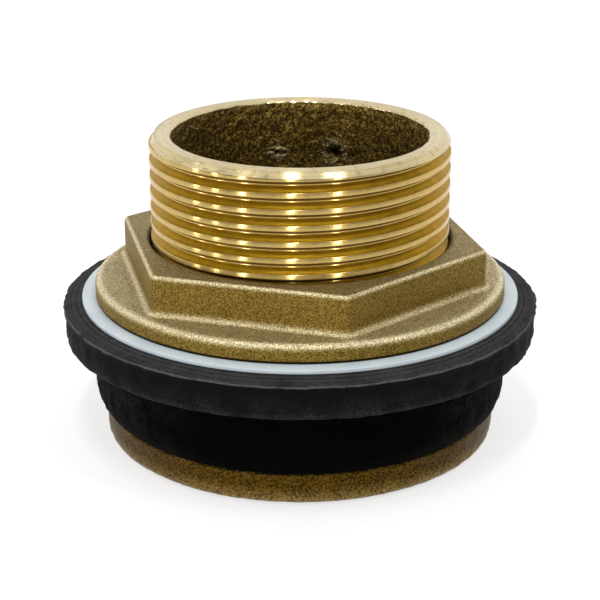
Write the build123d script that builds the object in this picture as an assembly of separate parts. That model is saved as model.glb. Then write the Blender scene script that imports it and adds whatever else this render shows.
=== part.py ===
# Closet spud: a threaded brass tail with its rubber gasket, plastic friction washer and lock nut.
# Millimetres, +Z up along the waterway, origin at the centre of the base that it stands on.
import os
from math import cos, isclose, pi, radians, tan

from build123d import *

# Thread: 1-1/4 inch straight pipe thread, right-hand, its crests cut flat
thread_major_radius = 21.08
threads_per_inch = 11.5
thread_crest = 1.15
thread_root = 0.22
thread_flank_angle = 30  # degrees between a flank and a plane across the axis
thread_length = 26.5  # below the first groove
first_groove_drop = 1.7  # below the rim, at the front
groove_overcut = 0.3  # how far the groove's cutter stands out of the crests

# Spud body: a cast tail with a flanged base
tail_wall = 3.28  # from the waterway to the thread's crests
thread_projection = 14.7  # thread left showing above the lock nut
rim_chamfer_past_root = 0.1  # how far the chamfer of the rim goes in below the groove's root
rim_inner_round = 0.3
neck_flare = 3.92  # how far the conical neck stands out of the shank at its foot
neck_height = 7.5
base_ledge = 3.1  # flat left round the foot of the neck, for the gasket
base_thickness = 4.55
base_foot_round = 1.1
base_top_round = 0.3
inlet_chamfer = 0.8

# Rubber gasket: a sleeve for the hole in the china, under a wide flange
sleeve_length = 10.1
sleeve_taper = 1.5  # how far the sleeve draws in at its lower end, to the edge of the base
sleeve_taper_height = 2.1
sleeve_taper_round = 2.5
gasket_flange_overhang = 4.35  # from the sleeve
gasket_flange_thickness = 5.4
gasket_flange_draft = 0.35  # how much smaller the flange is at its underside
gasket_top_round = 0.35
gasket_under_round = 0.6
gasket_corner_round = 0.8

# Friction washer
washer_overhang = 1.85  # from the flange of the nut
washer_thickness = 0.55
washer_edge_round = 0.12

# Lock nut: a hexagon on a round washer flange
nut_wall = 2.32  # from the thread's crests to a flat of the hexagon
nut_hex_height = 5.5
nut_corner_round = 1.2
nut_top_round = 0.7
nut_corner_from_front = 13.2  # degrees from -Y towards +X
nut_flange_overhang = 2.18  # from the sharp corners of the hexagon
nut_flange_thickness = 2.65
nut_root_round = 1.0  # between the hexagon and the flange
nut_flange_top_round = 1.0
nut_flange_under_round = 0.3
nut_mouth_chamfer = 0.4

# Clearances on the radius
nut_thread_clearance = 0.08
washer_clearance = 0.3
gasket_clearance = 0.3

# Form of the thread
pitch = 25.4 / threads_per_inch
flank_slope = tan(radians(thread_flank_angle))
thread_depth = (pitch - thread_crest - thread_root) / 2 / flank_slope
rim_chamfer = thread_depth + rim_chamfer_past_root

# Radii, from the thread outwards
waterway_radius = thread_major_radius - tail_wall
neck_foot_radius = thread_major_radius + neck_flare
base_radius = neck_foot_radius + base_ledge
sleeve_radius = base_radius + sleeve_taper
gasket_flange_radius = sleeve_radius + gasket_flange_overhang
nut_flat_radius = thread_major_radius + nut_wall
nut_flange_radius = nut_flat_radius / cos(pi / 6) + nut_flange_overhang
washer_radius = nut_flange_radius + washer_overhang

# Heights, from the base up
gasket_shoulder = base_thickness + sleeve_length
gasket_top = gasket_shoulder + gasket_flange_thickness
nut_seat = gasket_top + washer_thickness
nut_shoulder = nut_seat + nut_flange_thickness
nut_top = nut_shoulder + nut_hex_height
rim = nut_top + thread_projection
neck_top = base_thickness + neck_height
blank_end = rim + 2 * pitch  # before the threaded end is turned to length


def turned(*points):
    """A solid of revolution about Z, from its half section as (radius, height) points."""
    return revolve(Plane.XZ * make_face(Polyline(*points, close=True)), Axis.Z)


def ring_edges(solid, radius, height):
    """The circular edges of a solid at this radius about Z and at this height."""
    return solid.edges().filter_by(GeomType.CIRCLE).filter_by(
        lambda edge: isclose(edge.radius, radius, abs_tol=1e-4)
        and isclose(edge.arc_center.Z, height, abs_tol=1e-4)
    )


def thread_groove():
    """The helical groove between the crests, as a solid that runs out past the rim."""
    root_half = thread_root / 2
    outer_half = (pitch - thread_crest) / 2 + groove_overcut * flank_slope
    root_radius = thread_major_radius - thread_depth
    outer_radius = thread_major_radius + groove_overcut
    section = Polyline(
        (root_radius, -root_half),
        (outer_radius, -outer_half),
        (outer_radius, outer_half),
        (root_radius, root_half),
        close=True,
    )
    helix = Helix(pitch, thread_length + first_groove_drop + pitch / 2, thread_major_radius)
    groove = sweep(Plane.XZ * make_face(section), path=helix, is_frenet=True)
    start_turn = Rot(0, 0, -90 - 360 * thread_length / pitch)  # puts the first groove at the front
    return Pos(0, 0, rim - first_groove_drop - thread_length) * start_turn * groove


def rim_waste():
    """What is turned off the end of the blank, to leave the rim with its chamfer and rounded mouth."""
    outer_radius = thread_major_radius + groove_overcut
    mouth_radius = waterway_radius + rim_inner_round
    mouth_foot = rim - rim_inner_round
    outline = Polyline(
        (mouth_radius, rim),
        (thread_major_radius - rim_chamfer, rim),
        (outer_radius, rim - rim_chamfer - groove_overcut),
        (outer_radius, blank_end + groove_overcut),
        (0, blank_end + groove_overcut),
        (0, mouth_foot),
        (waterway_radius, mouth_foot),
    )
    mouth = CenterArc((mouth_radius, mouth_foot), rim_inner_round, 90, 90)
    return revolve(Plane.XZ * make_face(outline + mouth), Axis.Z)


def spud_body():
    body = turned(
        (waterway_radius, 0),
        (base_radius, 0),
        (base_radius, base_thickness),
        (neck_foot_radius, base_thickness),
        (thread_major_radius, neck_top),
        (thread_major_radius, blank_end),
        (waterway_radius, blank_end),
    )
    body = fillet(ring_edges(body, base_radius, 0), base_foot_round)
    body = fillet(ring_edges(body, base_radius, base_thickness), base_top_round)
    body = chamfer(ring_edges(body, waterway_radius, 0), inlet_chamfer)
    blank = Rot(0, 0, 90) * body  # turns its seam away from the foot of the groove
    cut = blank - thread_groove() - rim_waste()
    return cut.solids().sort_by(SortBy.VOLUME)[-1]  # the body, without the chips of the cut


def rubber_gasket():
    bore = thread_major_radius + gasket_clearance
    taper_top = base_thickness + sleeve_taper_height
    underside_radius = gasket_flange_radius - gasket_flange_draft
    gasket = turned(
        (neck_foot_radius + gasket_clearance, base_thickness),
        (base_radius, base_thickness),
        (sleeve_radius, taper_top),
        (sleeve_radius, gasket_shoulder),
        (underside_radius, gasket_shoulder),
        (gasket_flange_radius, gasket_top),
        (bore, gasket_top),
        (bore, neck_top),
    )
    gasket = fillet(ring_edges(gasket, gasket_flange_radius, gasket_top), gasket_top_round)
    gasket = fillet(ring_edges(gasket, underside_radius, gasket_shoulder), gasket_under_round)
    gasket = fillet(ring_edges(gasket, sleeve_radius, gasket_shoulder), gasket_corner_round)
    return fillet(ring_edges(gasket, sleeve_radius, taper_top), sleeve_taper_round)


def friction_washer():
    bore = thread_major_radius + washer_clearance
    washer = turned(
        (bore, gasket_top),
        (washer_radius, gasket_top),
        (washer_radius, nut_seat),
        (bore, nut_seat),
    )
    rims = ring_edges(washer, washer_radius, gasket_top) + ring_edges(washer, washer_radius, nut_seat)
    return fillet(rims, washer_edge_round)


def lock_nut():
    hexagon = RegularPolygon(
        radius=nut_flat_radius,
        side_count=6,
        major_radius=False,
        rotation=nut_corner_from_front - 90,
    )
    hexagon = fillet(hexagon.vertices(), nut_corner_round)
    prism = Pos(0, 0, nut_shoulder) * extrude(hexagon, nut_hex_height)
    flange = Pos(0, 0, nut_seat) * Cylinder(
        nut_flange_radius,
        nut_flange_thickness,
        align=(Align.CENTER, Align.CENTER, Align.MIN),
    )
    flange = fillet(ring_edges(flange, nut_flange_radius, nut_shoulder), nut_flange_top_round)
    flange = fillet(ring_edges(flange, nut_flange_radius, nut_seat), nut_flange_under_round)
    nut = flange + prism
    shoulder = nut.faces().filter_by(Axis.Z).sort_by(Axis.Z)[1]
    nut = fillet(shoulder.inner_wires()[0].edges(), nut_root_round)
    top = nut.faces().sort_by(Axis.Z)[-1]
    nut = fillet(top.outer_wire().edges(), nut_top_round)
    bore = thread_major_radius + nut_thread_clearance
    mouth = bore + nut_mouth_chamfer
    return nut - turned(
        (0, nut_seat),
        (mouth, nut_seat),
        (bore, nut_seat + nut_mouth_chamfer),
        (bore, nut_top - nut_mouth_chamfer),
        (mouth, nut_top),
        (0, nut_top),
    )


nodes = {
    "spud_body": spud_body(),
    "rubber_gasket": rubber_gasket(),
    "friction_washer": friction_washer(),
    "lock_nut": lock_nut(),
}

os.makedirs("parts", exist_ok=True)
for name, solid in nodes.items():
    export_step(solid, f"parts/{name}.step")
    print(name, round(solid.volume, 1), "mm3")
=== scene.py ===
from math import ceil, cos, pi, radians, sin

import bpy
import numpy as np
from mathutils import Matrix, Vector, noise


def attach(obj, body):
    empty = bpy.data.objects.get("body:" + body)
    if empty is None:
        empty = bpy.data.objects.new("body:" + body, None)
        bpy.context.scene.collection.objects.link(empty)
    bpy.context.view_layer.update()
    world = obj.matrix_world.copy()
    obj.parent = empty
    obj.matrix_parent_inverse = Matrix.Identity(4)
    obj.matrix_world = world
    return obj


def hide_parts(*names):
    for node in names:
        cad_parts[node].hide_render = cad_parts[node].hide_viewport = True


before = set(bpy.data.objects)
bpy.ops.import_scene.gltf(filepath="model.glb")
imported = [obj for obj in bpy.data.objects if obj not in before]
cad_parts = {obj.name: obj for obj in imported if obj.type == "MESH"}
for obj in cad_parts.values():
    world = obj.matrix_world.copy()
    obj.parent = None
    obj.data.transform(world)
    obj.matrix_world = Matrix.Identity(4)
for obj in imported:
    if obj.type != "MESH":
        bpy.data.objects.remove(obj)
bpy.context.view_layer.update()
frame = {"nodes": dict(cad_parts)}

scene = bpy.context.scene
scene.view_settings.view_transform = "Standard"
mm = 0.001
print("frame loaded:", ", ".join(frame["nodes"]))


class Wire:
    # one socket of a node tree; sums and products of wires add Math nodes
    def __init__(self, tree, socket=None):
        self.tree, self.socket = tree, socket

    def node(self, kind, settings=None, sockets=None, out=0):
        made = self.tree.nodes.new(kind)
        for name, value in (settings or {}).items():
            setattr(made, name, value)
        for key, value in (sockets or {}).items():
            if isinstance(value, Wire):
                self.tree.links.new(value.socket, made.inputs[key])
            else:
                made.inputs[key].default_value = value
        return Wire(self.tree, made.outputs[out] if made.outputs else None)

    def math(self, operation, *values, clamp=False):
        settings = {"operation": operation, "use_clamp": clamp}
        return self.node("ShaderNodeMath", settings, dict(enumerate(values)))

    def __add__(self, other):
        return self.math("ADD", self, other)

    def __sub__(self, other):
        return self.math("SUBTRACT", self, other)

    def __rsub__(self, other):
        return self.math("SUBTRACT", other, self)

    def __mul__(self, other):
        return self.math("MULTIPLY", self, other)

    def __truediv__(self, other):
        return self.math("DIVIDE", self, other)

    def __rtruediv__(self, other):
        return self.math("DIVIDE", other, self)

    def __pow__(self, other):
        return self.math("POWER", self, other)

    __radd__, __rmul__ = __add__, __mul__

    def clamped(self):
        return self.math("ADD", self, 0.0, clamp=True)

    def between(self, low, high):
        sockets = {"Value": self, "From Min": low, "From Max": high}
        return self.node("ShaderNodeMapRange", {"interpolation_type": "SMOOTHSTEP"}, sockets)

    def blend(self, first, second):
        sockets = {0: self, 6: self.tint(first), 7: self.tint(second)}
        return self.node("ShaderNodeMix", {"data_type": "RGBA"}, sockets, 2)

    def tint(self, colour):
        return colour if isinstance(colour, Wire) else (*colour, 1)

    def noise(self, vector, scale, detail=2.0, roughness=0.5):
        sockets = {"Vector": vector, "Scale": scale, "Detail": detail, "Roughness": roughness}
        return self.node("ShaderNodeTexNoise", {}, sockets)

    def lines(self, across, detail, roughness=0.5):
        # noise along one distance alone
        sockets = {"W": across, "Detail": detail, "Roughness": roughness}
        return self.node("ShaderNodeTexNoise", {"noise_dimensions": "1D"}, sockets)


# Finishes

def surface(name, **fixed):
    made = bpy.data.materials.new(name)
    made.use_nodes = True
    tree = made.node_tree
    shader = next(node for node in tree.nodes if node.type == "BSDF_PRINCIPLED")
    for socket, value in fixed.items():
        shader.inputs[socket.replace("_", " ")].default_value = value
    start = Wire(tree)
    place = start.node("ShaderNodeTexCoord", {}, {}, "Object")

    def feed(socket, wire):
        tree.links.new(wire.socket, shader.inputs[socket])

    def bump(height, strength, distance):
        sockets = {"Strength": strength, "Distance": distance, "Height": height}
        feed("Normal", start.node("ShaderNodeBump", {}, sockets))

    return made, start, place, feed, bump


def roundTheAxis(start, place):
    x, y, z = [start.node("ShaderNodeSeparateXYZ", {}, {0: place}, axis) for axis in "XYZ"]
    return (x * x + y * y) ** 0.5, z


def piecePaint(start, name):
    return start.node("ShaderNodeAttribute", {"attribute_name": name}, {}, "Fac")


threadLook = dict(
    bright=(0.62, 0.44, 0.15), rim=(0.78, 0.65, 0.37), scored=(0.36, 0.26, 0.10), stain=(0.40, 0.28, 0.10),
    rimFoot=42.5 * mm, rimBlend=0.25 * mm, line=0.24 * mm, lineLean=1.6,
    wobbleScale=60.0, wobble=0.3 * mm, cloudScale=900.0,
)


def brassThread():
    look = threadLook
    made, start, place, feed, _ = surface(
        "brassThread", Metallic=1.0, Anisotropic=1.0, Anisotropic_Rotation=0.25)
    radius, height = roundTheAxis(start, place)
    above = height.between(look["rimFoot"], look["rimFoot"] + look["rimBlend"])
    wobble = start.noise(place, look["wobbleScale"]) * look["wobble"]
    lines = start.lines((radius + height * look["lineLean"] + wobble) / look["line"], 2.0)
    cloud = start.noise(place, look["cloudScale"], 3.0)
    # paler above rimFoot: a painted highlight on the rim
    colour = above.blend(look["bright"], look["rim"])
    colour = (above * lines.between(0.5, 0.66) * 0.6).blend(colour, look["scored"])
    feed("Base Color", (cloud.between(0.5, 0.75) * 0.55).blend(colour, look["stain"]))
    feed("Roughness", 0.21 + lines * 0.06)
    return made


grooveLook = dict(
    low=(0.385, 0.208, 0.008), high=(0.58, 0.34, 0.022), paintedShade=(0.03, 0.016, 0.001),
    streak=0.2 * mm, cloudScale=700.0, relief=0.02 * mm,
)


def brassGroove():
    look = grooveLook
    made, start, place, feed, bump = surface("brassGroove", Metallic=1.0)
    radius, _ = roundTheAxis(start, place)
    streak = start.lines(radius / look["streak"], 1.0)
    cloud = start.noise(place, look["cloudScale"], 3.0)
    colour = (streak * 0.5 + cloud * 0.5).between(0.3, 0.7).blend(look["low"], look["high"])
    # negative values give painted shade just under the crests
    paintedShade = (piecePaint(start, "wearLightAndShade") * -1).clamped()
    feed("Base Color", paintedShade.blend(colour, look["paintedShade"]))
    feed("Roughness", 0.38 + cloud * 0.12)
    bump(streak, 0.2, look["relief"])
    return made


boreLook = dict(
    dark=(0.058, 0.030, 0.002), light=(0.44, 0.30, 0.065), bare=(0.78, 0.63, 0.36),
    hollow=(0.012, 0.006, 0.001), lump=0.6 * mm, grain=0.28 * mm, relief=0.42 * mm,
)


def brassBore():
    look = boreLook
    made, start, place, feed, bump = surface("brassBore", Metallic=0.85)
    lumps = start.noise(place, 1 / look["lump"], 3.0, 0.6)
    grain = start.noise(place, 1 / look["grain"], 2.0)
    tips = (lumps * 0.5 + grain * 0.5).between(0.42, 0.70)
    wearLightAndShade = piecePaint(start, "wearLightAndShade")  # above nought bare metal, below it painted shade in the pit
    bare = (wearLightAndShade * grain.between(0.36, 0.56)).clamped()
    colour = bare.blend(tips.blend(look["dark"], look["light"]), look["bare"])
    feed("Base Color", (wearLightAndShade * -1).clamped().blend(colour, look["hollow"]))
    feed("Roughness", 0.50 - tips * 0.15)
    bump(lumps + grain * 0.5, 1.0, look["relief"])
    return made


castLook = dict(
    low=(0.085, 0.046, 0.004), high=(0.36, 0.252, 0.060), wornAndLit=(0.96, 0.85, 0.54),
    paintedShade=(0.02, 0.011, 0.002), coarse=0.22 * mm, fine=0.13 * mm, patch=5 * mm, relief=0.2 * mm,
    soft=0.10, rough=0.58,
)
# darker than the nut's brass: painted shade under the gasket overhang
baseLook = dict(
    low=(0.010, 0.005, 0.0003), high=(0.135, 0.074, 0.009), wornAndLit=(0.34, 0.235, 0.08),
    paintedShade=(0.02, 0.01, 0.001), coarse=0.36 * mm, fine=0.21 * mm, patch=4 * mm, relief=0.2 * mm,
    soft=0.14, rough=0.50,
)


def brassCast(name, look):
    made, start, place, feed, bump = surface(name, Metallic=1.0)
    coarse = start.noise(place, 1 / look["coarse"], 1.0)
    fine = start.noise(place, 1 / look["fine"], 1.0)
    grain = coarse * 0.5 + fine * 0.5
    patch = start.noise(place, 1 / look["patch"], 2.0)
    wearLightAndShade = piecePaint(start, "wearLightAndShade")  # above nought worn bright with painted highlights and painted light, below it painted shade
    wornAndLit = (wearLightAndShade * (0.3 + grain.between(0.35, 0.65) * 0.9)).clamped()
    light = grain.between(0.5 - look["soft"], 0.5 + look["soft"]) * 0.8 + patch * 0.2
    colour = wornAndLit.blend(light.blend(look["low"], look["high"]), look["wornAndLit"])
    feed("Base Color", (wearLightAndShade * -1).clamped().blend(colour, look["paintedShade"]))
    feed("Roughness", look["rough"] - wornAndLit * 0.25 + (grain - 0.5) * 0.2)
    bump(grain, 1.0, look["relief"])
    return made


washerLook = dict(
    low=(0.51, 0.575, 0.615), high=(0.575, 0.64, 0.67),
    patchScale=180.0, fineScale=2500.0, relief=0.02 * mm,
)


def washerPlastic():
    look = washerLook
    made, start, place, feed, bump = surface("washerPlastic", IOR=1.46)
    patch = start.noise(place, look["patchScale"], 3.0)
    fine = start.noise(place, look["fineScale"], 2.0)
    feed("Base Color", patch.between(0.3, 0.7).blend(look["low"], look["high"]))
    feed("Roughness", 0.42 + fine * 0.12)
    bump(fine, 0.1, look["relief"])
    return made


rubberLook = dict(
    black=(0.0016, 0.0016, 0.0018), dustAndLight=(0.074, 0.073, 0.074), ring=1.5 * mm,
    wobbleScale=60.0, wobble=0.6 * mm, speckScale=3200.0, smearScale=330.0,
    topFrom=19.36 * mm, topTo=19.44 * mm, shadeFrom=15.2 * mm, shadeTo=18.6 * mm, relief=0.05 * mm,
)


def rubberFlange():
    look = rubberLook
    made, start, place, feed, bump = surface("rubberFlange", IOR=1.4, Specular_IOR_Level=0.09)
    radius, height = roundTheAxis(start, place)
    wobble = start.noise(place, look["wobbleScale"]) * look["wobble"]
    rings = start.lines((radius + wobble) / look["ring"], 4.0, 0.75)
    speck = start.noise(place, look["speckScale"], 3.0, 0.65)
    smear = start.noise(place, look["smearScale"], 4.0, 0.6)
    onTop = height.between(look["topFrom"], look["topTo"])
    wornAndLit = piecePaint(start, "wearLightAndShade")
    shaded = height.between(look["shadeFrom"], look["shadeTo"]) * (1 - onTop) * (1 - wornAndLit)
    dustAndLight = (0.08 + smear.between(0.3, 0.8) * 0.5) * (0.15 + speck.between(0.35, 0.75) * 0.75)
    # less dust higher on the side, under the lip: painted shade
    dustAndLight = dustAndLight * (1 - onTop * 0.6) * (1 - shaded * 0.8)
    # lighter along the lip: dust, and a painted highlight on the edge
    dustAndLight = dustAndLight + wornAndLit * smear.between(0.2, 0.55) * speck.between(0.2, 0.6) * 1.6
    dustAndLight = dustAndLight + onTop * rings.between(0.40, 0.66) * (0.15 + smear * 0.45 + speck * 0.35)
    feed("Base Color", dustAndLight.clamped().blend(look["black"], look["dustAndLight"]))
    feed("Roughness", 0.62 + speck * 0.2)
    bump(speck * 0.5 + rings * onTop, 0.35, look["relief"])
    return made


sleeveLook = dict(
    black=(0.0010, 0.0010, 0.0010), dustAndLight=(0.024, 0.022, 0.019), shadedTo=12 * mm, litFrom=29 * mm,
    speckScale=2600.0, smearScale=260.0, relief=0.04 * mm,
)


def rubberSleeve():
    look = sleeveLook
    made, start, place, feed, bump = surface("rubberSleeve", IOR=1.45, Specular_IOR_Level=0.015)
    speck = start.noise(place, look["speckScale"], 3.0, 0.6)
    smear = start.noise(place, look["smearScale"], 4.0, 0.6)
    x = start.node("ShaderNodeSeparateXYZ", {}, {0: place}, "X")
    side = start.math("ABSOLUTE", x).between(look["shadedTo"], look["litFrom"])
    dustAndLight = (smear * speck).between(0.15, 0.42) * (0.03 + side * 0.97)  # painted shade at the front, dust and painted light at the sides
    feed("Base Color", dustAndLight.blend(look["black"], look["dustAndLight"]))
    feed("Roughness", 0.6 + speck * 0.2)
    bump(speck, 0.25, look["relief"])
    return made


finish = dict(
    groove=brassGroove(), thread=brassThread(), bore=brassBore(), base=brassCast("brassBase", baseLook),
    nut=brassCast("brassNut", castLook), washer=washerPlastic(), flange=rubberFlange(),
    sleeve=rubberSleeve(),
)
print("finishes made:", ", ".join(finish))


# Turned pieces: a half section goes round the axis, and its thread rows climb a pitch a turn

turnInputs = {
    "Columns": ("NodeSocketInt", 256), "Pitch": ("NodeSocketFloat", 0.0),
    "Thread Foot": ("NodeSocketFloat", 0.0), "Thread Fade": ("NodeSocketFloat", 0.001),
    "Crest Radius": ("NodeSocketFloat", 0.0), "Rim Height": ("NodeSocketFloat", 1.0),
    "Rim Radius": ("NodeSocketFloat", 1.0), "Lump Size": ("NodeSocketFloat", 0.001),
    "Lump Height": ("NodeSocketFloat", 0.0), "Pit Place": ("NodeSocketVector", (0.0, 0.0, 1.0)),
    "Pit Radius": ("NodeSocketFloat", 0.001), "Pit Depth": ("NodeSocketFloat", 0.0),
    "Knob Place": ("NodeSocketVector", (0.0, 0.0, 1.0)), "Knob Radius": ("NodeSocketFloat", 0.001),
    "Knob Height": ("NodeSocketFloat", 0.0),
}
turning = dict(
    rimSnap=0.05 * mm, rimBand=0.8 * mm, runOut=0.5, spotCore=0.15,
    smallLumps=2.7, coarseShare=0.62, smallShare=0.38, joined=2e-6,
)
rowNames = ("radius", "height", "thread", "cast", "zone", "wearLightAndShade")


def turnTree(name, finishes):
    tree = bpy.data.node_groups.new(name, "GeometryNodeTree")
    face = tree.interface
    face.new_socket(name="Section", in_out="INPUT", socket_type="NodeSocketGeometry")
    for label, (kind, value) in turnInputs.items():
        face.new_socket(name=label, in_out="INPUT", socket_type=kind).default_value = value
    face.new_socket(name="Piece", in_out="OUTPUT", socket_type="NodeSocketGeometry")
    start = Wire(tree)
    group = tree.nodes.new("NodeGroupInput")
    given = {socket.name: Wire(tree, socket) for socket in group.outputs if socket.name}
    section, columns = given["Section"], given["Columns"]
    size = {"component": "MESH"}
    rows = start.node("GeometryNodeAttributeDomainSize", size, {0: section}, "Point Count")
    counts = {"Vertices X": columns + 1, "Vertices Y": rows}
    piece = start.node("GeometryNodeMeshGrid", {}, counts, "Mesh")
    index = start.node("GeometryNodeInputIndex")
    row = start.math("MODULO", index, rows)
    turn = start.math("FLOOR", index / rows) / columns

    def named(label):
        return start.node("GeometryNodeInputNamedAttribute", {"data_type": "FLOAT"}, {"Name": label})

    def rowValue(label):
        settings = {"data_type": "FLOAT", "domain": "POINT"}
        sockets = {"Geometry": section, "Value": named(label), "Index": row}
        return start.node("GeometryNodeSampleIndex", settings, sockets)

    # the thread rows climb, and stop at the foot and at the rim
    radius, height, thread = rowValue("radius"), rowValue("height"), rowValue("thread")
    foot, rim, crest = given["Thread Foot"], given["Rim Height"], given["Crest Radius"]
    climbed = start.math("MAXIMUM", height + given["Pitch"] * turn, foot)
    climbed = start.math("MINIMUM", climbed, rim)
    snapped = start.math("GREATER_THAN", climbed, rim - turning["rimSnap"])
    climbed = climbed + snapped * (rim - climbed)
    fade = ((climbed - foot) / given["Thread Fade"]).clamped()
    chamfer = given["Rim Radius"] + rim - climbed
    runOut = given["Rim Radius"] - (rim - climbed) * turning["runOut"]
    wall = start.math("MAXIMUM", crest - (crest - radius) * fade, runOut)  # the groove runs out at the rim
    cut = start.math("MINIMUM", wall, chamfer)
    atRim = start.math("GREATER_THAN", climbed, rim - turning["rimBand"])
    turnedOff = start.math("MAXIMUM", start.math("GREATER_THAN", wall, chamfer), atRim)
    zone = start.math("MAXIMUM", rowValue("zone"), thread * turnedOff)
    height = height + (climbed - height) * thread
    radius = radius + (cut - radius) * thread
    angle = turn * (2 * pi) - pi / 2

    def placed(distance):
        across = distance * start.math("COSINE", angle)
        along = distance * start.math("SINE", angle)
        return start.node("ShaderNodeCombineXYZ", {}, {0: across, 1: along, 2: height})

    smooth = placed(radius)

    def nearness(spot, reach):
        apart = start.node("ShaderNodeVectorMath", {"operation": "DISTANCE"}, {0: smooth, 1: spot}, "Value")
        return 1 - apart.between(reach * turning["spotCore"], reach)

    # cast rows get lumps, a pit with a raised edge, and a knob
    coarse = start.noise(smooth, 1 / given["Lump Size"], 1.0)
    small = start.noise(smooth, turning["smallLumps"] / given["Lump Size"], 1.0)
    lump = coarse * turning["coarseShare"] + small * turning["smallShare"]
    lump = lump.between(0.3, 0.72) * given["Lump Height"]
    hollow = nearness(given["Pit Place"], given["Pit Radius"])
    edge = nearness(given["Pit Place"], given["Pit Radius"] * 2) * (1 - hollow)
    cluster = (nearness(given["Knob Place"], given["Knob Radius"]) + edge) * small.between(0.42, 0.58)
    cast = rowValue("cast")
    rough = radius - cast * (lump + cluster * given["Knob Height"] - hollow * given["Pit Depth"])
    # the pit lowers the value for painted shade in it; the knob and the pit edge raise it for bare metal
    wearLightAndShade = rowValue("wearLightAndShade") + cast * (cluster - hollow)
    for label, value in (("zone", zone), ("wearLightAndShade", wearLightAndShade)):
        sockets = {"Geometry": piece, "Name": label, "Value": value}
        piece = start.node("GeometryNodeStoreNamedAttribute", {"data_type": "FLOAT"}, sockets)
    piece = start.node("GeometryNodeSetPosition", {}, {"Geometry": piece, "Position": placed(rough)})
    sockets = {"Geometry": piece, "Distance": turning["joined"]}
    piece = start.node("GeometryNodeMergeByDistance", {}, sockets)
    piece = start.node("GeometryNodeSetShadeSmooth", {}, {"Geometry": piece})
    piece = start.node("GeometryNodeRealizeInstances", {}, {"Geometry": piece})
    painted = named("zone")
    for number, coat in enumerate(finishes):
        chosen = start.math("LESS_THAN", start.math("ABSOLUTE", painted - number), 0.51)
        sockets = {"Geometry": piece, "Selection": chosen, "Material": coat}
        piece = start.node("GeometryNodeSetMaterial", {}, sockets)
    tree.links.new(piece.socket, tree.nodes.new("NodeGroupOutput").inputs[0])
    return tree


def turned(name, section, sizes, finishes):
    # section: rows of the values in rowNames, in mm, round the half section
    table = np.array(section, dtype=np.float32)
    table[:, :2] *= mm
    mesh = bpy.data.meshes.new(name + "Section")
    mesh.from_pydata([(r, 0, h) for r, h in table[:, :2].tolist()], [], [])
    for column, label in enumerate(rowNames):
        mesh.attributes.new(label, "FLOAT", "POINT").data.foreach_set("value", table[:, column].copy())
    piece = bpy.data.objects.new(name, mesh)
    scene.collection.objects.link(piece)
    tree = turnTree(name + "Turning", finishes)
    modifier = piece.modifiers.new("turning", "NODES")
    modifier.node_group = tree
    for item in tree.interface.items_tree:
        if item.in_out == "INPUT" and item.name in sizes:
            modifier[item.identifier] = sizes[item.name]
    return settled(piece, modifier)


def settled(piece, modifier):
    # keeps the evaluated shape as a plain mesh, with its faces outwards
    graph = bpy.context.evaluated_depsgraph_get()
    mesh = bpy.data.meshes.new_from_object(piece.evaluated_get(graph))
    piece.modifiers.remove(modifier)
    piece.data = mesh
    faceOut(mesh)
    print(piece.name, "made,", sum(len(face.vertices) - 2 for face in mesh.polygons), "triangles")
    return piece


def faceOut(mesh):
    volume = sum(face.center.dot(face.normal) * face.area for face in mesh.polygons)
    if volume < 0:
        mesh.flip_normals()


def arc(centreR, centreZ, radius, fromDegrees, toDegrees, steps):
    # points of a rounded edge, as (radius, height) in mm
    turns = np.linspace(radians(fromDegrees), radians(toDegrees), steps)
    return [(centreR + radius * cos(t), centreZ + radius * sin(t)) for t in turns]


def run(start, end, steps):
    # points from start to end, without the start
    start, end = np.array(start), np.array(end)
    return [tuple(start + (end - start) * i / steps) for i in range(1, steps + 1)]


def plainRows(points, zone, cast=0, wearLightAndShade=0):
    # rows away from the thread; wearLightAndShade is one value, or one for each point
    rowWearLightAndShade = wearLightAndShade if isinstance(wearLightAndShade, tuple) else (wearLightAndShade,) * len(points)
    return [(r, z, 0, cast, zone, w) for (r, z), w in zip(points, rowWearLightAndShade)]


spud = dict(
    crest=21.08, pitch=25.4 / 11.5, rim=43.449, rimRadius=20.25, threadFoot=19.2, threadFade=0.8,
    firstGroove=41.66, rootDepth=0.984, crestFoot=-0.4, rootTop=-1.0, grooveFrom=0.12, grooveTo=0.975,
    paintedShade=-0.8, bore=18.05, rimRound=0.35, inletChamfer=0.8, upperRows=84, lowerRows=22, deepest=24.0,
    lipCast=0.5, castStep=0.2, lumpSize=1.9, lumpHeight=0.5,
    pitDepth=0.6, pitRadius=1.5, pitAt=(73.4, 35.85), knobHeight=0.5, knobRadius=2.0, knobAt=(101.0, 35.65),
    base=28.1, baseHeight=4.55, footRound=1.1, topRound=0.3, neckFoot=25.0, neckTop=12.05,
    sideCast=0.3, edgeCast=0.7, edgeWearAndHighlight=0.2,
    footWearAndHighlight=(0.2, 0.4, 0.6, 0.75, 0.75, 0.6, 0.45), sideWearAndHighlight=(0.3, 0.15, 0.05, 0, 0, 0, 0, 0.05),
    columns=240,
)
# one thread: distance up from the middle of the crest, and depth under it
threadForm = [
    (-1.02, 0.978), (-0.99, 0.955), (-0.94, 0.880), (-0.76, 0.572), (-0.57, 0.246), (-0.50, 0.126),
    (-0.455, 0.055), (-0.42, 0.022), (-0.37, 0.006), (-0.30, 0.004), (-0.12, 0.018), (0.02, 0.034),
    (0.12, 0.050), (0.18, 0.066), (0.22, 0.086), (0.25, 0.130), (0.32, 0.280), (0.41, 0.430),
    (0.66, 0.660), (0.90, 0.870), (0.97, 0.930), (1.03, 0.962),
]


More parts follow.
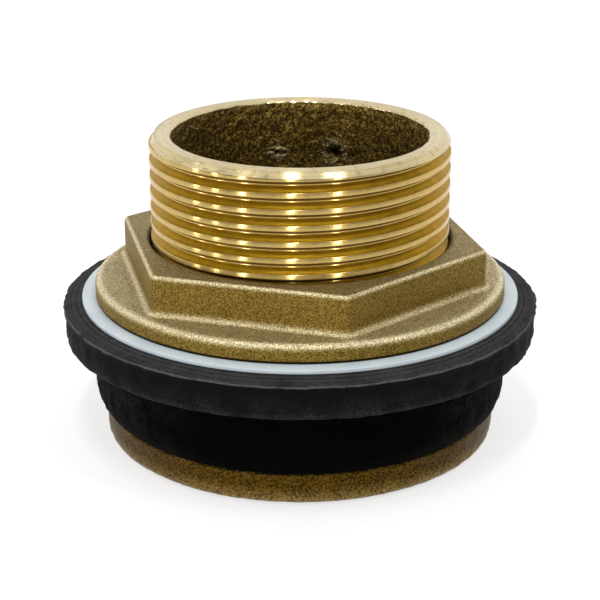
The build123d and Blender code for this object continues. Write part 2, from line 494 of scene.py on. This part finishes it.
def threadRows():
    pitch, half = spud["pitch"], spud["pitch"] / 2
    form = threadForm + [(half, spud["rootDepth"])]
    lowest = spud["firstGroove"] + half
    while lowest > spud["threadFoot"] - 2 * pitch:
        lowest -= pitch
    rows = []
    for turn in range(ceil((spud["rim"] - lowest) / pitch) + 1):
        for away, deep in form:
            under = away < spud["crestFoot"]
            inGroove = under or spud["grooveFrom"] < deep < spud["grooveTo"]
            zone = 0 if inGroove else 1
            # painted shade just under each crest
            wearLightAndShade = spud["paintedShade"] if under and away > spud["rootTop"] else 0  # stays under the crests
            rows.append((spud["crest"] - deep, lowest + turn * pitch + away, 1, 0, zone, wearLightAndShade))
    return rows


def wallSpot(place):
    # a spot on the wall of the bore, from its angle and height
    degrees, height = place
    wall = spud["bore"] * mm
    return (wall * cos(radians(degrees)), wall * sin(radians(degrees)), height * mm)


def spudSection():
    s = spud
    turnedZone, boreZone, baseZone = 1, 2, 3  # places in the list of finishes
    rows = threadRows()
    rimCorner = s["rimRadius"], s["rim"]
    lipRadius, lipFoot = s["bore"] + s["rimRound"], s["rim"] - s["rimRound"]
    rows += plainRows([rimCorner] + run(rimCorner, (lipRadius, s["rim"]), 4), turnedZone)
    lip = arc(lipRadius, lipFoot, s["rimRound"], 100, 180, 5)
    rows += [(r, z, 0, s["lipCast"] * i / 4, turnedZone, 0) for i, (r, z) in enumerate(lip)]
    deepest, inlet = (s["bore"], s["deepest"]), (s["bore"], s["inletChamfer"])
    bore = run((s["bore"], lipFoot), deepest, s["upperRows"]) + run(deepest, inlet, s["lowerRows"])
    for i, (r, z) in enumerate(bore):
        rows.append((r, z, 0, min(1, s["lipCast"] + s["castStep"] * i), boreZone, 0))
    mouth, foot = s["bore"] + s["inletChamfer"], s["base"] - s["footRound"]
    rows += plainRows(run(inlet, (mouth, 0), 2) + run((mouth, 0), (foot, 0), 6), baseZone)
    corner = arc(foot, s["footRound"], s["footRound"], -80, 0, 7)
    # worn foot edge, also a painted highlight, fading up the side
    rows += plainRows(corner, baseZone, s["sideCast"], s["footWearAndHighlight"])
    edge, edgeFoot = s["base"] - s["topRound"], s["baseHeight"] - s["topRound"]
    side = run((s["base"], s["footRound"]), (s["base"], edgeFoot), 8)
    rows += plainRows(side, baseZone, s["sideCast"], s["sideWearAndHighlight"])
    rows += plainRows(arc(edge, edgeFoot, s["topRound"], 10, 90, 4), baseZone, s["edgeCast"], s["edgeWearAndHighlight"])
    neckFoot, neckTop = (s["neckFoot"], s["baseHeight"]), (s["crest"], s["neckTop"])
    inside = run((edge, s["baseHeight"]), neckFoot, 2) + run(neckFoot, neckTop, 4)
    return rows + plainRows(inside + run(neckTop, (s["crest"], s["threadFoot"]), 3), baseZone)


spudSizes = {
    "Columns": spud["columns"], "Pitch": spud["pitch"] * mm, "Thread Foot": spud["threadFoot"] * mm,
    "Thread Fade": spud["threadFade"] * mm, "Crest Radius": spud["crest"] * mm,
    "Rim Height": spud["rim"] * mm, "Rim Radius": spud["rimRadius"] * mm,
    "Lump Size": spud["lumpSize"] * mm, "Lump Height": spud["lumpHeight"] * mm,
    "Pit Place": wallSpot(spud["pitAt"]), "Pit Radius": spud["pitRadius"] * mm,
    "Pit Depth": spud["pitDepth"] * mm, "Knob Place": wallSpot(spud["knobAt"]),
    "Knob Radius": spud["knobRadius"] * mm, "Knob Height": spud["knobHeight"] * mm,
}
spudFinishes = [finish["groove"], finish["thread"], finish["bore"], finish["base"]]
spudPiece = turned("threadedSpud", spudSection(), spudSizes, spudFinishes)


gasket = dict(
    foot=4.55, innerFoot=25.3, bore=21.38, neckTop=12.05, sleeveFoot=28.1, sleeve=29.6, shoulder=14.65,
    top=20.05, taper=[(28.6, 5.0), (29.02, 5.55), (29.33, 6.2), (29.52, 6.95), (29.6, 7.85)],
    flange=33.92, draft=0.33,
    lip=0.26, lipDepth=0.9, lipLean=0.03, droop=0.6, droopFrom=31.0, topRound=0.25, underRound=0.6,
    cornerRound=0.8, sleeveCast=0.8, cornerCast=0.3, topCast=0.5, topWearAndHighlight=0.1,
    lipWearAndHighlight=(0.3, 0.7, 1.0, 1.0, 0.8, 0.5, 0.25), lumpSize=2.2, lumpHeight=0.3, columns=288,
)


def gasketSection():
    g = gasket
    flangeZone, sleeveZone = 0, 1  # places in the list of finishes
    innerFoot, neckTop = (g["innerFoot"], g["foot"]), (g["bore"], g["neckTop"])
    rows = plainRows(run(innerFoot, (g["sleeveFoot"], g["foot"]), 3), sleeveZone)
    corner = g["sleeve"] + g["cornerRound"], g["shoulder"] - g["cornerRound"]
    sleeve = g["taper"] + run(g["taper"][-1], (g["sleeve"], corner[1]), 10)
    rows += plainRows(sleeve, sleeveZone, g["sleeveCast"])
    under = g["flange"] - g["draft"]
    low = under - g["underRound"], g["shoulder"] + g["underRound"]
    shoulder = run((corner[0], g["shoulder"]), (low[0], g["shoulder"]), 4)
    rows += plainRows(arc(*corner, g["cornerRound"], 170, 90, 5) + shoulder, sleeveZone, g["cornerCast"])
    rows += plainRows(arc(*low, g["underRound"], -75, 0, 5), flangeZone, 1, g["topWearAndHighlight"])
    edge = g["top"] - g["droop"]
    high = g["flange"] - g["topRound"], edge - g["topRound"]
    neck = g["flange"] - g["lip"], edge - g["lipDepth"]
    side = run((under, low[1]), neck, 9) + run(neck, (g["flange"] - g["lipLean"], high[1]), 3)
    rows += plainRows(side, flangeZone, 1)
    # the lip edge gets dust and a painted highlight
    rows += plainRows(arc(*high, g["topRound"], 8, 90, 7), flangeZone, 1, g["lipWearAndHighlight"])
    droopTop, topInside = (g["droopFrom"], g["top"]), (g["bore"], g["top"])
    rows += plainRows(run((high[0], edge), droopTop, 8), flangeZone, g["topCast"], g["topWearAndHighlight"])
    rows += plainRows(run(droopTop, topInside, 6), flangeZone)
    rows += plainRows(run(topInside, neckTop, 4) + run(neckTop, innerFoot, 4), sleeveZone)
    return rows[-1:] + rows


gasketSizes = {
    "Columns": gasket["columns"], "Lump Size": gasket["lumpSize"] * mm,
    "Lump Height": gasket["lumpHeight"] * mm,
}
gasketPiece = turned("rubberGasket", gasketSection(), gasketSizes, [finish["flange"], finish["sleeve"]])


washer = dict(bore=21.38, radius=31.05, bottom=20.05, top=20.6, edge=0.14, edgeFoot=0.03, columns=256)


def washerSection():
    w = washer
    low, high = w["bottom"] + w["edge"], w["top"] - w["edge"]
    inside, flat = (w["bore"], w["bottom"]), w["radius"] - w["edge"]
    points = [inside] + run(inside, (flat, w["bottom"]), 6)
    points += [(w["radius"], w["bottom"] + w["edgeFoot"]), (w["radius"], low)]
    points += arc(flat, high, w["edge"], 0, 90, 4)
    points += run(points[-1], (w["bore"], w["top"]), 6) + [inside]
    return plainRows(points, 0)


washerPiece = turned("frictionWasher", washerSection(), {"Columns": washer["columns"]}, [finish["washer"]])


# Lock nut: rows run round a rounded hexagon and spread out to the round flange

nut = dict(
    flat=23.4, cornerRound=1.2, cornerFromFront=13.2, seat=20.6, shoulder=23.25, top=28.75, topRound=0.7,
    rootRound=1.0, flange=29.2, flangeTopRound=1.0, flangeEdge=1.4, underRound=0.3, seatShadeHeight=0.16,
    bore=21.16, boreMargin=2, mouthChamfer=0.4, mouthRound=0.2, mouthEdge=0.08,
    sideSteps=44, cornerSteps=12,
    # row values: worn edges with painted highlights, a painted highlight in the fillet, painted light on
    # the top face and flange top
    topWearAndHighlight=(0.1, 0.3, 0.6, 0.85, 0.8, 0.4, 0.12, 0), rootHighlight=(0.05, 0.2, 0.5, 0.75, 0.65, 0.4, 0.35),
    edgeWearAndHighlight=(0.5, 0.8, 1.0, 0.85, 0.4, 0.1, 0), topFaceLight=0.2, flangeTopLight=0.4,
    wave=2.6, waveDepth=0.06, pebble=0.55, pebbleDepth=0.035, flatBelow=0.1,
)


def hexagonOutline():
    # points and outward normals of the rounded hexagon
    places, normals = [], []
    reach = (nut["flat"] - nut["cornerRound"]) / cos(pi / 6)
    first = radians(nut["cornerFromFront"] - 90)
    for corner in range(6):
        middle = first + corner * pi / 3
        centre = np.array((cos(middle), sin(middle))) * reach
        for turn in np.linspace(-pi / 6, pi / 6, nut["cornerSteps"]):
            out = np.array((cos(middle + turn), sin(middle + turn)))
            places.append(centre + out * nut["cornerRound"])
            normals.append(out)
        flatOut = normals[-1]
        nextMiddle = middle + pi / 3
        begin = places[-1]
        end = np.array((cos(nextMiddle), sin(nextMiddle))) * reach + flatOut * nut["cornerRound"]
        for step in range(1, nut["sideSteps"]):
            places.append(begin + (end - begin) * step / nut["sideSteps"])
            normals.append(flatOut)
    return np.array(places), np.array(normals)


def nutRows():
    # each row: (kind, amount, height, wearLightAndShade); kind is ring, fromRing, hexagon or spread
    n = nut
    mouth = n["bore"] + n["mouthChamfer"]
    # painted shade in the bore, a lighter painted shade at its top mouth
    rows = [("ring", mouth, n["seat"], -1), ("ring", n["bore"], n["seat"] + n["mouthChamfer"], -1)]
    inside = np.linspace(n["seat"] + n["boreMargin"], n["top"] - n["boreMargin"], 3)
    rows += [("ring", n["bore"], z, -1) for z in inside]
    rows += [("ring", n["bore"], n["top"] - n["mouthChamfer"], -1),
             ("ring", mouth - n["mouthRound"], n["top"] - n["mouthRound"], -0.4),
             ("ring", mouth + n["mouthEdge"], n["top"], 0.1)]
    # painted light on the top face
    rows += [("fromRing", share, n["top"], n["topFaceLight"]) for share in np.linspace(0.12, 0.9, 7)]
    quarter = np.linspace(0, pi / 2, 8)
    # worn top edges, also a painted highlight along them
    for turn, wearLightAndShade in zip(quarter, n["topWearAndHighlight"]):
        height = n["top"] - n["topRound"] * (1 - cos(turn))
        rows.append(("hexagon", n["topRound"] * (1 - sin(turn)), height, wearLightAndShade))
    high, low = n["top"] - n["topRound"], n["shoulder"] + n["rootRound"]
    rows += [("hexagon", 0, z, 0) for z in np.linspace(high, low, 12)[1:]]
    # painted highlight in the fillet at the foot of the hexagon
    for turn, wearLightAndShade in zip(quarter[1:], n["rootHighlight"]):
        height = n["shoulder"] + n["rootRound"] * (1 - sin(turn))
        rows.append(("hexagon", -n["rootRound"] * (1 - cos(turn)), height, wearLightAndShade))
    # painted light on the flange top
    rows += [("spread", share, n["shoulder"], n["flangeTopLight"]) for share in np.linspace(0.15, 1, 7)]
    edge = n["flange"] - n["flangeEdge"]
    # worn flange edge, also a painted highlight along it
    for turn, wearLightAndShade in zip(quarter[1:], n["edgeWearAndHighlight"]):
        height = n["shoulder"] - n["flangeTopRound"] * (1 - cos(turn))
        rows.append(("ring", edge + n["flangeEdge"] * sin(turn), height, wearLightAndShade))
    low = n["seat"] + n["underRound"]
    side = np.linspace(n["shoulder"] - n["flangeTopRound"], low + n["seatShadeHeight"], 6)
    rows += [("ring", n["flange"], z, 0) for z in side[1:]]
    # painted shade along the foot of the flange, where the nut meets the washer
    rows += [("ring", n["flange"], low + n["seatShadeHeight"] / 2, -0.6), ("ring", n["flange"], low, -1)]
    for turn in np.linspace(0, pi / 2, 4)[1:]:
        height = n["seat"] + n["underRound"] * (1 - sin(turn))
        rows.append(("ring", n["flange"] - n["underRound"] * (1 - cos(turn)), height, -1))
    below = np.linspace(n["flange"] - n["underRound"], mouth, 6)
    return rows + [("ring", r, n["seat"], 0) for r in below[1:-1]]


def lockNut():
    places, normals = hexagonOutline()
    ways = places / np.linalg.norm(places, axis=1)[:, None]
    innerRing = ways * (nut["bore"] + nut["mouthChamfer"] + nut["mouthEdge"])
    topHexagon = places - normals * nut["topRound"]
    rootHexagon = places + normals * nut["rootRound"]
    flangeRing = ways * (nut["flange"] - nut["flangeEdge"])
    count, spots, pointWearLightAndShade = len(places), [], []
    rows = nutRows()
    for kind, amount, height, wearLightAndShade in rows:
        if kind == "ring":
            flat = ways * amount
        elif kind == "hexagon":
            flat = places - normals * amount
        elif kind == "fromRing":
            flat = innerRing + (topHexagon - innerRing) * amount
        else:
            flat = rootHexagon + (flangeRing - rootHexagon) * amount
        spots += [Vector((x * mm, y * mm, height * mm)) for x, y in flat]
        pointWearLightAndShade += [wearLightAndShade] * count
    faces = []
    for row in range(len(rows)):
        here, above = row * count, (row + 1) % len(rows) * count
        for i in range(count):
            j = (i + 1) % count
            faces.append((here + i, here + j, above + j, above + i))
    mesh = bpy.data.meshes.new("lockNut")
    mesh.from_pydata(spots, [], faces)
    faceOut(mesh)
    for point in mesh.vertices:  # sinks the faces into an uneven cast skin, apart from the seat
        wave = 0.5 + 0.5 * noise.noise(point.co / (nut["wave"] * mm))
        pebble = 0.5 + 0.5 * noise.noise(point.co / (nut["pebble"] * mm))
        depth = wave * nut["waveDepth"] + pebble * nut["pebbleDepth"]
        onFace = 0 if point.co.z < (nut["seat"] + nut["flatBelow"]) * mm else 1
        spots[point.index] = point.co - point.normal * onFace * mm * depth
    mesh.vertices.foreach_set("co", np.array(spots, dtype=np.float32).ravel())
    mesh.attributes.new("wearLightAndShade", "FLOAT", "POINT").data.foreach_set("value", pointWearLightAndShade)
    mesh.materials.append(finish["nut"])
    mesh.shade_smooth()
    mesh.update()
    piece = bpy.data.objects.new("lockNut", mesh)
    scene.collection.objects.link(piece)
    print("lockNut made,", 2 * len(faces), "triangles")
    return piece


nutPiece = lockNut()


for piece, body, node, slot in [(spudPiece, "spud", "spud_body", "turned_brass"),
                                (gasketPiece, "spud", "rubber_gasket", "black_rubber"),
                                (washerPiece, "washer", "friction_washer", "white_plastic"),
                                (nutPiece, "nut", "lock_nut", "cast_brass")]:
    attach(piece, body)
    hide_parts(node)
print("pieces set on their bodies")


# Stage: pale floor, light from a plain studio, camera

studio = dict(
    floorHalf=3.0, floorDrop=0.0002, floorDiffuse=0.40, floorGlow=0.66,
    front=0.12, behind=0.95, rearSpan=0.6, zenith=0.95, zenithFrom=0.35, zenithTo=0.95,
    lampDistance=0.9, lampAim=0.03,
    lowStrength=38.0, lowElevation=7.0, lowSize=(0.048, 0.2), highStrength=34.0, highSize=(0.03, 0.3),
)
# azimuth and share of the strength
lowStrips = [(-6.5, 1.0), (-42.3, 1.0), (26.6, 1.0), (-63.7, 0.5), (-81.6, 0.45)]
# azimuth, elevation and share of the strength
highStrips = [(-11.0, 69.0, 2.1), (-65.0, 60.0, 0.15), (45.0, 65.0, 0.9), (-102.0, 44.0, 0.1)]


def floorFinish():
    made = bpy.data.materials.new("paleFloor")
    made.use_nodes = True
    made.node_tree.nodes.clear()
    start = Wire(made.node_tree)
    rays = ("Is Camera Ray", "Is Glossy Ray", "Is Transmission Ray")
    seen, mirrored, passed = [start.node("ShaderNodeLightPath", {}, {}, ray) for ray in rays]
    strength = (seen + mirrored + passed).clamped() * studio["floorGlow"]
    paint = start.node("ShaderNodeBsdfDiffuse", {}, {"Color": (studio["floorDiffuse"],) * 3 + (1,)})
    glow = start.node("ShaderNodeEmission", {}, {"Color": (1, 1, 1, 1), "Strength": strength})
    both = start.node("ShaderNodeAddShader", {}, {0: paint, 1: glow})
    start.node("ShaderNodeOutputMaterial", {}, {"Surface": both})
    return made


def makeFloor():
    half, low = studio["floorHalf"], -studio["floorDrop"]
    mesh = bpy.data.meshes.new("floor")
    corners = [(-half, -half, low), (half, -half, low), (half, half, low), (-half, half, low)]
    mesh.from_pydata(corners, [], [(0, 1, 2, 3)])
    mesh.materials.append(floorFinish())
    floor = bpy.data.objects.new("floor", mesh)
    scene.collection.objects.link(floor)


def makeWorld():
    world = bpy.data.worlds.new("studio")
    world.use_nodes = True
    world.node_tree.nodes.clear()
    start = Wire(world.node_tree)
    way = start.node("ShaderNodeTexCoord", {}, {}, "Generated")
    up = start.node("ShaderNodeSeparateXYZ", {}, {0: way}, "Z")
    rear = start.node("ShaderNodeSeparateXYZ", {}, {0: way}, "Y")
    rear = rear.between(-studio["rearSpan"], studio["rearSpan"])
    level = studio["front"] + rear * (studio["behind"] - studio["front"])
    above = up.between(studio["zenithFrom"], studio["zenithTo"])
    level = level + above * (studio["zenith"] - level)
    back = start.node("ShaderNodeBackground", {}, {"Color": (1, 1, 1, 1), "Strength": level})
    start.node("ShaderNodeOutputWorld", {}, {"Surface": back})
    scene.world = world


def stripLamp(name, azimuth, elevation, size, strength):
    # a long narrow lamp that faces the object; azimuth from the front towards the right
    a, e = radians(azimuth), radians(elevation)
    way = Vector((sin(a) * cos(e), -cos(a) * cos(e), sin(e)))
    width, length = size
    data = bpy.data.lights.new(name, "AREA")
    data.shape, data.size, data.size_y = "RECTANGLE", width, length
    data.energy = strength * pi * width * length
    lamp = bpy.data.objects.new(name, data)
    lamp.location = way * studio["lampDistance"] + Vector((0, 0, studio["lampAim"]))
    lamp.rotation_mode = "QUATERNION"
    lamp.rotation_quaternion = way.to_track_quat("Z", "Y")
    scene.collection.objects.link(lamp)


makeFloor()
makeWorld()
for number, (azimuth, share) in enumerate(lowStrips):
    strength = studio["lowStrength"] * share
    stripLamp("lowStrip%d" % number, azimuth, studio["lowElevation"], studio["lowSize"], strength)
for number, (azimuth, elevation, share) in enumerate(highStrips):
    strength = studio["highStrength"] * share
    stripLamp("highStrip%d" % number, azimuth, elevation, studio["highSize"], strength)
print("studio made")

camera = dict(distance=0.2353, elevation=20.62, aimHeight=0.01843, lens=97.9, sensor=36.0, nearest=0.01)
lensData = bpy.data.cameras.new("camera")
lensData.lens = camera["lens"]
lensData.sensor_width = camera["sensor"]
lensData.clip_start = camera["nearest"]
cameraObject = bpy.data.objects.new("camera", lensData)
scene.collection.objects.link(cameraObject)
lift = radians(camera["elevation"])
backwards = Vector((0, -cos(lift), sin(lift)))
cameraObject.location = Vector((0, 0, camera["aimHeight"])) + backwards * camera["distance"]
cameraObject.rotation_mode = "QUATERNION"
cameraObject.rotation_quaternion = (-backwards).to_track_quat("-Z", "Y")
scene.camera = cameraObject
print("camera made")
